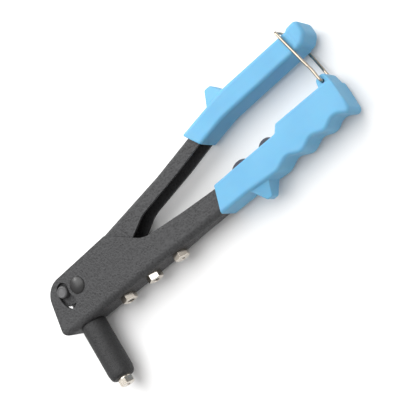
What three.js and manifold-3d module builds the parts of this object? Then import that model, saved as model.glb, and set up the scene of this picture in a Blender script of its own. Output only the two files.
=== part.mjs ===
// A hand riveter for blind rivets, with its handles latched shut.
//
// Sizes are in millimetres. Pieces are drawn about the main pivot: X runs along the fixed handle to the grips,
// Y towards the lever and Z along the pivot, with the middle plane at Z = 0. The nose points to -Y. The last
// group moves the whole tool so that its origin is the middle of the underside when it lies flat.

import * as THREE from "three";
import Module from "manifold-3d";
import { mergeVertices } from "three/addons/utils/BufferGeometryUtils.js";

const wasm = await Module();
wasm.setup();

// ---------------------------------------------------------------- driving dimensions

const GAP = 0.15; // running clearance between neighbouring pieces

const PIVOT_PLACE = [-104.09, 12.95, 15]; // the pivot, from the middle of the underside

const BODY = { half: 12.5, sheet: 2.3, web: -25.3, taperFrom: 66, taperTo: 98 };
const TANG = { half: 8.6, end: 214, web: -21.6, top: -11 }; // the body's stretch inside the lower grip
const LEVER = { half: 9.5, sheet: 2, tangEnd: 222 };

const PIVOT = { shank: 3.9, head: 6.25, dome: 2.4 };
const BUSH = { bore: 4.05, outer: 5.2, flange: 7.8, flangeThick: 0.45 };
const PIN = { radius: 4.35, arm: 13.43, restAngle: 169.3, half: 14.5, chamfer: 0.8 };
const CLIP = { bore: 3.9, outer: 6, from: 6.15, to: 6.95 };
const SLOT = { radius: 4.9, from: 161, to: 209.5 };

const AXIS = -12.3; // X of the barrel and of everything in it
const BARREL = { radius: 9.5, bore: 6.9, neck: 8.5, neckTop: -18, end: -69.7, shoulder: -64.5, floor: -65 };
const NUT = { flats: 19.6, from: -22.8, to: -18.6 };

const NOSE = { flats: 10.3, hex: 4.8, collar: 4.7, collarLong: 1.3, shank: 3.4, shankLong: 6.3 };
const NOSE_SEAT = -71; // Y of the back of the fitted nosepiece's hexagon
const SPARES = [
  { name: "spare_nosepiece_a", x: 23.8, bore: 2.55, turn: 8 },
  { name: "spare_nosepiece_b", x: 49.8, bore: 2.15, turn: -6 },
  { name: "spare_nosepiece_c", x: 75.8, bore: 1.3, turn: 14 },
];

const ROD = { radius: 6.6, neck: 5.7, bore: 4.9, bottom: -37.8, shoulder: -31.8, boreTop: -20, headHalf: 5.9 };
const ROD_SLOT = { run: 5.6, rise: 4.65, corner: 4.2 }; // half its width and height, about the drive pin
const CASE = { radius: 6.6, bottom: -55, top: -32, mouth: 3.9, cone: 5.2, coneTop: -47 };
const CASE_SOCKET = { radius: 5.9, from: -38 };
const JAW = { from: -54, to: -47.4, tooth: 1.3, cut: 0.35 };
const PUSHER = { tip: -47.1, shoulder: -43.4, radius: 4.6, stem: 2.2, bore: 1.5, top: -36 };
const SPRING = { radius: 3.7, wire: 0.6, from: -42.6, to: -20.8, turns: 6 };

const GRIP_HALF = 11; // both grips, across
const SPUR_TIP_HALF = 4; // both finger guards narrow to this at the tip
const KNOB_HALF = 11.3; // the upper grip's end, inside the bail's legs
const TAB = { half: 8.5, x: 229.4, y: 0.1, hole: 1.4 };
const GRIP_OPENING = { half: 5.9, to: 183 }; // the lower grip's open inner side
const BAIL = { wire: 1, legHalf: 12.6, ankleHalf: 10.6, barX: 222.4, barY: 44.7 };
const SPANNER = { half: 1.5, hexFlats: 10.7, big: [148, -12.1, 9.9], small: [171.6, -9.3, 7.4], hole: 2.5 };
const HOLDER = { half: 6.1, top: -14, slot: 1.75, slotFrom: 137.4, slotTo: 180.4, lift: 0.2 };

// ---------------------------------------------------------------- materials

const finish = (color, roughness, metalness) => () =>
  new THREE.MeshStandardMaterial({ color, roughness, metalness });
const blackCoat = finish(0x3c3d3f, 0.75, 0.1);
const blueGrip = finish(0x7cc6ea, 0.6, 0);
const darkPlastic = finish(0x2b2c2e, 0.7, 0);
const plated = finish(0xc9c7c0, 0.28, 0.9);
const toolSteel = finish(0x8d8f92, 0.4, 0.85);
const bronze = finish(0xa9814d, 0.45, 0.8);

// ---------------------------------------------------------------- solids

const radians = THREE.MathUtils.degToRad;

function solid(geometry) {
  const bare = geometry.clone();
  bare.deleteAttribute("normal");
  bare.deleteAttribute("uv");
  const merged = mergeVertices(bare, 1e-4);
  const corners = merged.index.array;
  const kept = [];
  for (let i = 0; i < corners.length; i += 3) {
    const [a, b, c] = corners.slice(i, i + 3);
    if (a !== b && b !== c && c !== a) kept.push(a, b, c);
  }
  const vertProperties = merged.attributes.position.array;
  return new wasm.Manifold(new wasm.Mesh({ numProp: 3, vertProperties, triVerts: new Uint32Array(kept) }));
}

function geometryOf(manifold) {
  const mesh = manifold.getMesh();
  const geometry = new THREE.BufferGeometry();
  geometry.setAttribute("position", new THREE.BufferAttribute(mesh.vertProperties, 3));
  geometry.setIndex(new THREE.BufferAttribute(mesh.triVerts, 1));
  geometry.computeVertexNormals();
  return geometry;
}

// A closed outline through corners [x, y, radius]; a corner with a radius is rounded by an arc. It starts at a
// rounded corner if there is one, because a path that starts with moveTo draws no line to an arc.
function outline(corners) {
  const shape = new THREE.Shape();
  const first = Math.max(0, corners.findIndex((corner) => corner.length === 3));
  const ordered = [...corners.slice(first), ...corners.slice(0, first)];
  ordered.forEach(([x, y, radius = 0], i) => {
    const corner = new THREE.Vector2(x, y);
    if (!radius) {
      if (i) shape.lineTo(x, y);
      else shape.moveTo(x, y);
      return;
    }
    const before = new THREE.Vector2(...ordered.at(i - 1).slice(0, 2)).sub(corner).normalize();
    const after = new THREE.Vector2(...ordered[(i + 1) % ordered.length].slice(0, 2)).sub(corner).normalize();
    const half = Math.acos(before.dot(after)) / 2;
    const reach = radius / Math.tan(half);
    const centre = before.clone().add(after).normalize().multiplyScalar(radius / Math.sin(half)).add(corner);
    const start = before.clone().multiplyScalar(reach).add(corner).sub(centre);
    const end = after.clone().multiplyScalar(reach).add(corner).sub(centre);
    shape.absarc(centre.x, centre.y, radius, start.angle(), end.angle(), before.cross(after) > 0);
  });
  return shape;
}

const disc = (x, y, radius) => new THREE.Shape().absarc(x, y, radius, 0, 2 * Math.PI, false);

// A side outline, in X and Y, made thick along Z.
function plate(shape, from, to, curveSegments = 2) {
  const depth = to - from;
  return new THREE.ExtrudeGeometry(shape, { depth, bevelEnabled: false, curveSegments }).translate(0, 0, from);
}

// A plan outline, in X and Z, symmetric about Z = 0, made thick along Y.
function slab(halves, from, to) {
  const mirrored = halves.map(([x, z]) => [x, -z]).reverse();
  const shape = outline([...mirrored, ...halves]);
  const bar = new THREE.ExtrudeGeometry(shape, { depth: to - from, bevelEnabled: false });
  return bar.rotateX(-Math.PI / 2).translate(0, from, 0);
}

// A turned piece about the Y axis through x, from a profile of [radius, y] that runs up its outside.
function turned(profile, x = 0, segments = 24) {
  const points = profile.map(([radius, y]) => new THREE.Vector2(radius, y));
  return new THREE.LatheGeometry(points, segments).translate(x, 0, 0);
}

// The same about the Z axis through (x, y), with [radius, z].
function turnedZ(profile, x = 0, y = 0, segments = 24) {
  return turned(profile, 0, segments).rotateX(Math.PI / 2).translate(x, y, 0);
}

// A ring's profile, closed, for turned and turnedZ.
const ring = (inner, outer, from, to) => [[inner, from], [outer, from], [outer, to], [inner, to], [inner, from]];

const block = (x0, x1, y0, y1, z0, z1) =>
  new THREE.BoxGeometry(x1 - x0, y1 - y0, z1 - z0).translate((x0 + x1) / 2, (y0 + y1) / 2, (z0 + z1) / 2);

// A hexagonal bar along Y, with two flats square to Z before it is turned by the angle.
function hexBar(flats, from, to, x, turn = 0) {
  const corner = flats / 2 / Math.cos(Math.PI / 6);
  return new THREE.CylinderGeometry(corner, corner, to - from, 6)
    .rotateY(radians(30 + turn))
    .translate(x, (from + to) / 2, 0);
}

const tool = new THREE.Group();

function add(name, material, shape) {
  const mesh = new THREE.Mesh(shape.isBufferGeometry ? shape : geometryOf(shape), material());
  mesh.name = name;
  tool.add(mesh);
}

// ---------------------------------------------------------------- body frame

const pinX = PIN.arm * Math.cos(radians(PIN.restAngle));
const pinY = PIN.arm * Math.sin(radians(PIN.restAngle));

// The arc slot that the drive pin runs in, centred on the pivot.
function arcSlot() {
  const start = radians(SLOT.from);
  const end = radians(SLOT.to);
  const shape = new THREE.Shape();
  const capAt = (angle, from) =>
    shape.absarc(PIN.arm * Math.cos(angle), PIN.arm * Math.sin(angle), SLOT.radius, from, from + Math.PI, false);
  shape.absarc(0, 0, PIN.arm + SLOT.radius, start, end, false);
  capAt(end, end);
  shape.absarc(0, 0, PIN.arm - SLOT.radius, end, start, true);
  capAt(start, start + Math.PI);
  return shape;
}

// The fixed handle's tang, the stretch of the body inside its grip, grown by a gap.
const bodyTang = (gap) => [
  [110, BODY.web - gap],
  [150, BODY.web - gap],
  [175, TANG.web - gap],
  [TANG.end + gap, TANG.web - gap],
  [TANG.end + gap, TANG.top + gap],
  [128, -9.4 + gap],
];

function bodyFrame() {
  const cheek = outline([
    [-31.5, BODY.web, 5],
    ...bodyTang(0),
    [64.2, -5.1, 20],
    [38.3, 14.7, 1.5],
    [-24.2, 12.7, 14.6],
  ]);
  const hollow = outline([
    [-60, BODY.web + BODY.sheet],
    [150, BODY.web + BODY.sheet],
    [175, TANG.web + BODY.sheet],
    [TANG.end + 10, TANG.web + BODY.sheet],
    [TANG.end + 10, 30],
    [-60, 30],
  ]);
  const taper = (inset) => [
    [-60, BODY.half - inset],
    [BODY.taperFrom, BODY.half - inset],
    [BODY.taperTo, TANG.half - inset],
    [TANG.end + 20, TANG.half - inset],
  ];
  const outside = solid(plate(cheek, -20, 20, 3)).intersect(solid(slab(taper(0), -60, 60)));
  const inside = solid(plate(hollow, -20, 20)).intersect(solid(slab(taper(BODY.sheet), -60, 60)));
  let body = outside
    .subtract(inside)
    .subtract(solid(plate(arcSlot(), -20, 20, 5)))
    .subtract(solid(plate(disc(0, 0, PIVOT.shank + GAP), -20, 20, 10)))
    .subtract(solid(turned([[0, -40], [BARREL.neck + GAP, -40], [BARREL.neck + GAP, -15], [0, -15]], AXIS, 32)));
  for (const { x } of SPARES) {
    const seat = BODY.web + NOSE.collarLong + 0.1;
    const hole = [[0, -40], [NOSE.collar + GAP, -40], [NOSE.collar + GAP, seat], [NOSE.shank + GAP, seat]];
    body = body.subtract(solid(turned([...hole, [NOSE.shank + GAP, -15], [0, -15]], x, 20)));
  }
  return body;
}

// ---------------------------------------------------------------- lever

// The lever's tang, the stretch inside its grip, grown by a gap.
const leverTang = (gap) => [
  [136, 21.7 - gap],
  [150, 24.3 - gap],
  [LEVER.tangEnd + gap, 28 - gap],
  [LEVER.tangEnd + gap, 36.6 + gap],
  [150, 33.6 + gap],
  [129.2, 30.4 + gap],
];

function leverArm() {
  const side = outline([
    [-20.6, -6, 6.5],
    [0, -11, 8],
    [32.5, -10.8, 6],
    [70.6, 9.4, 25],
    [110, 16.1],
    ...leverTang(0),
    [95, 24],
    [6, 12.6, 3],
    [-20.6, 9.6, 6.5],
  ]);
  const underTop = outline([
    [-60, -60],
    [LEVER.tangEnd + 10, -60],
    [LEVER.tangEnd + 10, 36.6 - LEVER.sheet],
    [150, 33.6 - LEVER.sheet],
    [129.2, 30.4 - LEVER.sheet],
    [95, 24 - LEVER.sheet],
    [8, 12.8 - LEVER.sheet],
    [8, 30],
    [-60, 30],
  ]);
  const half = LEVER.half - LEVER.sheet;
  return solid(plate(side, -LEVER.half, LEVER.half, 3))
    .subtract(solid(plate(underTop, -half, half)))
    .subtract(solid(plate(disc(0, 0, BUSH.outer + GAP), -20, 20, 10)))
    .subtract(solid(plate(disc(pinX, pinY, PIN.radius + GAP), -20, 20, 10)));
}

// ---------------------------------------------------------------- grips

// A guard that stands out of a grip between two heights, full width at its base and narrow at its tip.
function spur(corners, base, tip) {
  const section = outline([
    [-GRIP_HALF, base],
    [GRIP_HALF, base],
    [SPUR_TIP_HALF, tip],
    [-SPUR_TIP_HALF, tip],
  ]);
  const roof = new THREE.ExtrudeGeometry(section, { depth: 60, bevelEnabled: false });
  roof.rotateY(Math.PI / 2).translate(corners[0][0] - 20, 0, 0);
  return solid(plate(outline(corners), -GRIP_HALF, GRIP_HALF)).intersect(solid(roof));
}

function lowerGrip() {
  const side = outline([
    [121.8, -26.2, 3],
    [172, -27.8, 8],
    [182.5, -23.5, 8],
    [193, -28.4, 8],
    [203.5, -23.4, 8],
    [213.5, -27.3, 8],
    [223.2, -21.6, 8],
    [235, -29.2, 2.5],
    [235, -2.2, 3],
    [188, -2.2, 1.5],
    [184, -7.2, 1.5],
    [128.8, -7.6, 3],
  ]);
  const guard = [[146, -25.6], [152.6, -36.4, 1], [157, -36.4, 1], [164, -25.6]];
  const tab = outline([[224.4, -5], [225.2, 4.7, 3.6], [233.2, 4.7, 3.6], [235.4, -5]]);
  const wall = TANG.half + GAP;
  return solid(plate(side, -GRIP_HALF, GRIP_HALF))
    .add(spur(guard, -25.6, -36.4))
    .add(solid(plate(tab, -TAB.half, TAB.half, 3)))
    .subtract(solid(plate(outline([...bodyTang(GAP), [110, -8.6]]), -wall, wall)))
    .subtract(solid(block(110, GRIP_OPENING.to, -14, 0, -GRIP_OPENING.half, GRIP_OPENING.half)))
    .subtract(solid(plate(disc(TAB.x, TAB.y, TAB.hole), -20, 20, 6)));
}

function upperGrip() {
  const side = outline([
    [129.2, 34.1, 2],
    [130, 28, 5],
    [136.2, 19.9, 2.5],
    [160, 24.1, 30],
    [230, 26, 4],
    [236.4, 31, 6],
    [237, 41.5, 4],
    [170.2, 40.4, 8],
    [152.4, 37.7, 8],
  ]);
  const guard = [[152.8, 35.5], [157.6, 49.9, 1.5], [162, 49.9, 2], [171.5, 37.5]];
  const knob = outline([[227, 26.3, 1.5], [233, 26.8, 5], [238.6, 32, 6], [238.6, 43.3, 4], [227, 42.3, 1.5]]);
  const wall = LEVER.half + GAP;
  return solid(plate(side, -GRIP_HALF, GRIP_HALF))
    .add(spur(guard, 38.4, 49.9))
    .add(solid(plate(knob, -KNOB_HALF, KNOB_HALF, 3)))
    .subtract(solid(plate(outline([[110, 16.9 - GAP], ...leverTang(GAP), [110, 26.8 + GAP]]), -wall, wall)));
}

// ---------------------------------------------------------------- pivot and drive pin

// A domed head's profile from its rim to the top, for a rivet end at height z.
function dome(rim, from, height) {
  const radius = (rim * rim + height * height) / (2 * height);
  const spread = Math.asin(rim / radius);
  const steps = [1, 0.75, 0.5, 0.25, 0];
  return steps.map((step) => {
    const angle = spread * step;
    return [radius * Math.sin(angle), from + height - radius + radius * Math.cos(angle)];
  });
}

function pivotRivet() {
  const seat = BODY.half + 0.1;
  const head = dome(PIVOT.head, seat, PIVOT.dome);
  const foot = head.map(([radius, z]) => [radius, -z]).reverse();
  return turnedZ([...foot, [PIVOT.shank, -seat], [PIVOT.shank, seat], ...head]);
}

const leverBush = (side) => {
  const face = LEVER.half + GAP;
  const profile = [
    [BUSH.bore, LEVER.half - LEVER.sheet],
    [BUSH.outer, LEVER.half - LEVER.sheet],
    [BUSH.outer, face],
    [BUSH.flange, face],
    [BUSH.flange, face + BUSH.flangeThick],
    [BUSH.bore, face + BUSH.flangeThick],
    [BUSH.bore, LEVER.half - LEVER.sheet],
  ];
  return turnedZ(side > 0 ? profile : profile.map(([radius, z]) => [radius, -z]).reverse());
};

function drivePin() {
  const groove = CLIP.bore - GAP;
  const half = [
    [groove, CLIP.from - GAP],
    [groove, CLIP.to + GAP],
    [PIN.radius, CLIP.to + GAP],
    [PIN.radius, PIN.half - PIN.chamfer],
    [PIN.radius - PIN.chamfer, PIN.half],
    [0, PIN.half],
  ];
  const middle = [[PIN.radius, GAP - CLIP.from], [PIN.radius, CLIP.from - GAP]];
  return turnedZ([...half.map(([radius, z]) => [radius, -z]).reverse(), ...middle, ...half], pinX, pinY);
}

function drivePinClip(side) {
  const zs = side > 0 ? [CLIP.from, CLIP.to] : [-CLIP.to, -CLIP.from];
  const mouth = block(pinX - 10, pinX, pinY - 1.2, pinY + 1.2, -20, 20);
  return solid(turnedZ(ring(CLIP.bore, CLIP.outer, ...zs), pinX, pinY)).subtract(solid(mouth));
}

// ---------------------------------------------------------------- barrel

function noseBarrel() {
  const profile = [
    [NOSE.shank + GAP, BARREL.end],
    [7.4, BARREL.end],
    [8.9, BARREL.end + 1.6],
    [BARREL.radius, BARREL.shoulder],
    [BARREL.radius, BODY.web - GAP],
    [BARREL.neck, BODY.web - GAP],
    [BARREL.neck, BARREL.neckTop],
    [BARREL.bore, BARREL.neckTop],
    [BARREL.bore, BARREL.floor],
    [NOSE.shank + GAP, BARREL.floor],
    [NOSE.shank + GAP, BARREL.end],
  ];
  return turned(profile, AXIS, 32);
}

function barrelLockNut() {
  const bore = turned([[0, -40], [BARREL.neck + GAP, -40], [BARREL.neck + GAP, -10], [0, -10]], AXIS, 32);
  return solid(hexBar(NUT.flats, NUT.from, NUT.to, AXIS)).subtract(solid(bore));
}

// A nosepiece about the Y axis through x, with the back of its hexagon at seat.
function nosepiece(x, seat, bore, turn) {
  const tip = seat - NOSE.hex;
  const across = NOSE.flats / 2;
  const cone = [[0, tip], [across - 0.9, tip], [across + 1.4, tip + 1.3], [across + 1.4, seat], [0, seat]];
  const collarTop = seat + NOSE.collarLong;
  const shank = [
    [0, seat - 1],
    [NOSE.collar, seat - 1],
    [NOSE.collar, collarTop],
    [NOSE.shank, collarTop],
    [NOSE.shank, collarTop + NOSE.shankLong - 1],
    [NOSE.shank - 0.8, collarTop + NOSE.shankLong],
    [0, collarTop + NOSE.shankLong],
  ];
  return solid(hexBar(NOSE.flats, tip, seat, x, turn))
    .intersect(solid(turned(cone, x)))
    .add(solid(turned(shank, x, 16)))
    .subtract(solid(turned([[0, tip - 5], [bore, tip - 5], [bore, seat + 20], [0, seat + 20]], x, 12)));
}

// ---------------------------------------------------------------- jaw carriage

function carrierRod() {
  const rod = [
    [0, ROD.boreTop],
    [ROD.bore, ROD.boreTop],
    [ROD.bore, ROD.bottom],
    [ROD.neck, ROD.bottom],
    [ROD.neck, ROD.shoulder],
    [ROD.radius, ROD.shoulder],
    [ROD.radius, -5],
    [0, -5],
  ];
  const head = outline([
    [AXIS - 8.4, -6.5, 2],
    [AXIS + 7.4, -6.5, 2],
    [AXIS + 7.4, 10.2, 2],
    [AXIS - 8.4, 10.2, 2],
  ]);
  const { run, rise, corner } = ROD_SLOT;
  const slot = outline([
    [AXIS - run, pinY - rise, corner],
    [AXIS + run, pinY - rise, corner],
    [AXIS + run, pinY + rise, corner],
    [AXIS - run, pinY + rise, corner],
  ]);
  return solid(turned(rod, AXIS))
    .add(solid(plate(head, -ROD.headHalf, ROD.headHalf)))
    .subtract(solid(plate(slot, -20, 20, 3)));
}

function jawCase() {
  const profile = [
    [CASE.mouth, CASE.bottom],
    [CASE.radius - 1, CASE.bottom],
    [CASE.radius, CASE.bottom + 1.5],
    [CASE.radius, CASE.top],
    [CASE_SOCKET.radius, CASE.top],
    [CASE_SOCKET.radius, CASE_SOCKET.from],
    [CASE.cone, CASE_SOCKET.from],
    [CASE.cone, CASE.coneTop],
    [CASE.mouth, CASE.bottom],
  ];
  return turned(profile, AXIS);
}

// One of three jaws: a third of a cone that fits the case, with a half-round tooth groove for the mandrel.
function jaw(index) {
  const coneAt = (y) =>
    CASE.mouth + ((CASE.cone - CASE.mouth) * (y - CASE.bottom)) / (CASE.coneTop - CASE.bottom) - GAP;
  const profile = [
    [JAW.tooth, JAW.from],
    [coneAt(JAW.from), JAW.from],
    [coneAt(JAW.to), JAW.to],
    [JAW.tooth, JAW.to],
    [JAW.tooth, JAW.from],
  ];
  const reach = 12;
  const edge = radians(60);
  const wedge = outline([
    [JAW.cut, 0],
    [JAW.cut + reach * Math.cos(edge), -reach * Math.sin(edge)],
    [JAW.cut + reach * Math.cos(edge), reach * Math.sin(edge)],
  ]);
  const sector = plate(wedge, 0, 20).rotateX(-Math.PI / 2).translate(0, -60, 0);
  const third = geometryOf(solid(turned(profile)).intersect(solid(sector)));
  return third.rotateY(radians(120 * index)).translate(AXIS, 0, 0);
}

function jawPusher() {
  const profile = [
    [PUSHER.bore, PUSHER.tip],
    [2.4, PUSHER.tip],
    [PUSHER.radius, PUSHER.tip + 1.6],
    [PUSHER.radius, PUSHER.shoulder],
    [PUSHER.stem, PUSHER.shoulder],
    [PUSHER.stem, PUSHER.top],
    [PUSHER.bore, PUSHER.top],
    [PUSHER.bore, PUSHER.tip],
  ];
  return turned(profile, AXIS, 16);
}

class Helix extends THREE.Curve {
  getPoint(t, target = new THREE.Vector3()) {
    const angle = 2 * Math.PI * SPRING.turns * t;
    const y = THREE.MathUtils.lerp(SPRING.from, SPRING.to, t);
    return target.set(AXIS + SPRING.radius * Math.cos(angle), y, SPRING.radius * Math.sin(angle));
  }
}

// A round wire along a curve.
function wire(path, radius, steps) {
  const section = new THREE.Shape().absarc(0, 0, radius, 0, 2 * Math.PI, false);
  return new THREE.ExtrudeGeometry(section, { steps, extrudePath: path, curveSegments: 4, bevelEnabled: false });
}

// ---------------------------------------------------------------- wire bail

// The bar lies over the upper grip's back, the legs pass outside the grip, and each foot turns in towards the
// tab's hole and ends just outside it.
function wireBail() {
  const footEnd = TAB.half + GAP + 0.1;
  const half = [
    [TAB.x, TAB.y, footEnd],
    [TAB.x, TAB.y, footEnd + 0.55],
    [TAB.x - 0.1, TAB.y + 0.7, BAIL.ankleHalf - 0.3],
    [TAB.x - 0.3, TAB.y + 2.2, BAIL.ankleHalf + 0.1],
    [228.4, 9.6, BAIL.ankleHalf],
    [227.8, 13.6, BAIL.legHalf - 1.2],
    [227.1, 18, BAIL.legHalf - 0.4],
    [226.2, 24, BAIL.legHalf],
    [223.2, 41.5, BAIL.legHalf],
    [BAIL.barX + 0.1, BAIL.barY - 0.4, BAIL.legHalf - 1.3],
    [BAIL.barX, BAIL.barY, BAIL.legHalf - 3.2],
  ];
  const mirrored = half.map(([x, y, z]) => [x, y, -z]).reverse();
  const points = [...half, ...mirrored].map((point) => new THREE.Vector3(...point));
  return wire(new THREE.CatmullRomCurve3(points, false, "centripetal"), BAIL.wire, 84);
}

// ---------------------------------------------------------------- spanner

function spanner() {
  const { half, big, small } = SPANNER;
  const hex = hexBar(SPANNER.hexFlats, -half - 1, half + 1, 0).rotateX(Math.PI / 2).translate(big[0], big[1], 0);
  const neck = block(big[0], small[0], big[1] - 4, small[1], -half, half);
  return solid(plate(disc(...big), -half, half, 10))
    .add(solid(plate(disc(...small), -half, half, 8)))
    .add(solid(neck))
    .subtract(solid(hex))
    .subtract(solid(plate(disc(small[0], small[1], SPANNER.hole), -20, 20, 5)));
}

function spannerHolder() {
  const lift = BODY.sheet + HOLDER.lift;
  const side = outline([
    [133.5, BODY.web + lift],
    [150, BODY.web + lift],
    [175, TANG.web + lift],
    [183.5, TANG.web + lift],
    [183.5, HOLDER.top],
    [133.5, HOLDER.top],
  ]);
  const slot = block(HOLDER.slotFrom, HOLDER.slotTo, -30, 0, -HOLDER.slot, HOLDER.slot);
  return solid(plate(side, -HOLDER.half, HOLDER.half)).subtract(solid(slot));
}

// ---------------------------------------------------------------- assembly

add("body_frame", blackCoat, bodyFrame());
add("lever_arm", blackCoat, leverArm());
add("lower_grip", blueGrip, lowerGrip());
add("upper_grip", blueGrip, upperGrip());
add("pivot_rivet", blackCoat, pivotRivet());
add("lever_bush_front", bronze, leverBush(1));
add("lever_bush_back", bronze, leverBush(-1));
add("drive_pin", blackCoat, drivePin());
add("drive_pin_clip_front", toolSteel, drivePinClip(1));
add("drive_pin_clip_back", toolSteel, drivePinClip(-1));
add("nose_barrel", blackCoat, noseBarrel());
add("barrel_lock_nut", toolSteel, barrelLockNut());
add("fitted_nosepiece", plated, nosepiece(AXIS, NOSE_SEAT, 1.7, 30));
for (const { name, x, bore, turn } of SPARES) add(name, plated, nosepiece(x, BODY.web - 0.1, bore, turn));
add("carrier_rod", toolSteel, carrierRod());
add("jaw_case", toolSteel, jawCase());
for (const index of [0, 1, 2]) add(`jaw_${index + 1}`, toolSteel, jaw(index));
add("jaw_pusher", toolSteel, jawPusher());
add("pusher_spring", plated, wire(new Helix(), SPRING.wire, 72));
add("wire_bail", plated, wireBail());
add("spanner", plated, spanner());
add("spanner_holder", darkPlastic, spannerHolder());

tool.position.set(...PIVOT_PLACE);
const group = new THREE.Group();
group.add(tool);

export default group;
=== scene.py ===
"""A hand riveter with a black wrinkle-coated body, blue grips and a wire latch, on a pale table.

Pieces are drawn in millimetres about the main pivot, X towards the grips, Y towards the lever and Z up,
and each goes to its place in the frame as it is made.
"""

import math

import bpy
from mathutils import Matrix, Vector


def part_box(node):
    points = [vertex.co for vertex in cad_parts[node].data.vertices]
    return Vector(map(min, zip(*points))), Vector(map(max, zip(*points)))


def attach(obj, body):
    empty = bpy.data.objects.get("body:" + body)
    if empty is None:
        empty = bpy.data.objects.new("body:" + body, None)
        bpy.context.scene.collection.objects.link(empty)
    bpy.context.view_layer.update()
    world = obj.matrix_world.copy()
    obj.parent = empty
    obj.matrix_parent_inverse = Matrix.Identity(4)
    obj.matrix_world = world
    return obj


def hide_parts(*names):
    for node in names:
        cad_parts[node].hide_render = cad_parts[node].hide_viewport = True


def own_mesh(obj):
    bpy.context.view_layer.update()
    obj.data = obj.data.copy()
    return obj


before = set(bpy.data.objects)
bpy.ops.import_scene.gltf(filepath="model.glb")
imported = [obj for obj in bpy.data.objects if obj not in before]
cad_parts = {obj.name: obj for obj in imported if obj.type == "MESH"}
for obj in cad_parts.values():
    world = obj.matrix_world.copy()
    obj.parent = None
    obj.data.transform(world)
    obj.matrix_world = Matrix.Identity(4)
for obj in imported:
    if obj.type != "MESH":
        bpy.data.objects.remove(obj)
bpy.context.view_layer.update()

MM = 0.001
low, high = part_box("pivot_rivet")
PIVOT = (low + high) / 2


def size_of(node):
    """A CAD node's lowest and highest corner, in millimetres from the pivot."""
    return [(corner - PIVOT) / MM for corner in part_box(node)]


# ---------------------------------------------------------------- shared sizes, from the frame

BODY_LOW, BODY_HIGH = size_of("body_frame")
LEVER_HIGH = size_of("lever_arm")[1]
BARREL_LOW, BARREL_HIGH = size_of("nose_barrel")
ROD_LOW, ROD_HIGH = size_of("carrier_rod")
CASE_LOW, CASE_HIGH = size_of("jaw_case")
PIN_LOW, PIN_HIGH = size_of("drive_pin")

AXIS = (BARREL_LOW.x + BARREL_HIGH.x) / 2  # X of the barrel
WEB = BODY_LOW.y  # the web's outer face
SHEET = 2.3  # the body's sheet thickness
FOLD = 4.8  # outer radius of the fold between the web and each cheek
HALF = BODY_HIGH.z  # half the head's width
TANG_HALF = 8.6  # half the fixed handle's width
TANG_END = 214  # X of the fixed handle's end
TANG_WEB = -21.6  # Y of the fixed handle's web
LEVER_HALF = LEVER_HIGH.z
LEVER_SHEET = 2
LEVER_FOLD = 3.2
THROUGH = 20  # half the length of a cutter that goes right through the tool
PIN = Vector(((PIN_LOW.x + PIN_HIGH.x) / 2, (PIN_LOW.y + PIN_HIGH.y) / 2))
PIN_RADIUS = (PIN_HIGH.x - PIN_LOW.x) / 2
GRIP_HALF = 11
KNOB_HALF = 11.3
TAB_HALF = 8.5
GAP = 0.15  # clearance between a grip and its handle


# ---------------------------------------------------------------- modelling helpers


def deselect():
    if bpy.context.object and bpy.context.object.mode != "OBJECT":
        bpy.ops.object.mode_set(mode="OBJECT")
    bpy.ops.object.select_all(action="DESELECT")


def pick(piece):
    """Makes one piece the selected and active one."""
    deselect()
    piece.select_set(True)
    bpy.context.view_layer.objects.active = piece


def edit(piece, mode="VERT"):
    """Opens a piece in edit mode with nothing selected."""
    pick(piece)
    bpy.ops.object.mode_set(mode="EDIT")
    bpy.ops.mesh.select_mode(type=mode)
    bpy.ops.mesh.select_all(action="DESELECT")


def done():
    bpy.ops.object.mode_set(mode="OBJECT")


def in_mm(vertex):
    return (vertex.co - PIVOT) / MM


def choose(piece, kind, test):
    """Selects the edges or faces whose places pass a test, for the next edit."""
    edit(piece, kind)
    done()
    mesh = piece.data
    items = mesh.edges if kind == "EDGE" else mesh.polygons
    for item in items:
        item.select = bool(test([in_mm(mesh.vertices[i]) for i in item.vertices]))
    bpy.ops.object.mode_set(mode="EDIT")


def place(piece, points):
    """Gives a primitive's vertices their places."""
    for vertex, (x, y, z) in zip(piece.data.vertices, points):
        vertex.co = PIVOT + Vector((x, y, z)) * MM


def ring_of(name, points):
    """A closed wire of these points, from a circle."""
    deselect()
    bpy.ops.mesh.primitive_circle_add(vertices=len(points), fill_type="NOTHING")
    piece = bpy.context.object
    piece.name = name
    place(piece, points)
    return piece


def rounded(corners, steps=6):
    """A closed outline through corners (x, y, radius), each rounded by an arc of so many steps."""
    points = []
    count = len(corners)
    for i, corner in enumerate(corners):
        here = Vector(corner[:2])
        if len(corner) < 3:
            points.append((here.x, here.y))
            continue
        before = (Vector(corners[i - 1][:2]) - here).normalized()
        after = (Vector(corners[(i + 1) % count][:2]) - here).normalized()
        half = math.acos(before.dot(after)) / 2
        centre = here + (before + after).normalized() * corner[2] / math.sin(half)
        start = here + before * corner[2] / math.tan(half) - centre
        turn = math.pi - 2 * half
        if before.x * after.y - before.y * after.x > 0:
            turn = -turn
        for step in range(steps + 1):
            angle = turn * step / steps
            c, s = math.cos(angle), math.sin(angle)
            points.append((centre.x + start.x * c - start.y * s, centre.y + start.x * s + start.y * c))
    return points


def round_hole(x, y, radius, count=48):
    return [
        (x + radius * math.cos(2 * math.pi * i / count), y + radius * math.sin(2 * math.pi * i / count))
        for i in range(count)
    ]


def plate(name, outline, z0, z1):
    """An outline in X and Y, filled and extruded along Z."""
    piece = ring_of(name, [(x, y, z0) for x, y in outline])
    pick(piece)
    bpy.ops.object.mode_set(mode="EDIT")
    bpy.ops.mesh.select_all(action="SELECT")
    bpy.ops.mesh.edge_face_add()
    bpy.ops.mesh.extrude_region_move(TRANSFORM_OT_translate={"value": (0, 0, (z1 - z0) * MM)})
    bpy.ops.mesh.select_all(action="SELECT")
    bpy.ops.mesh.normals_make_consistent(inside=False)
    done()
    return piece


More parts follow.
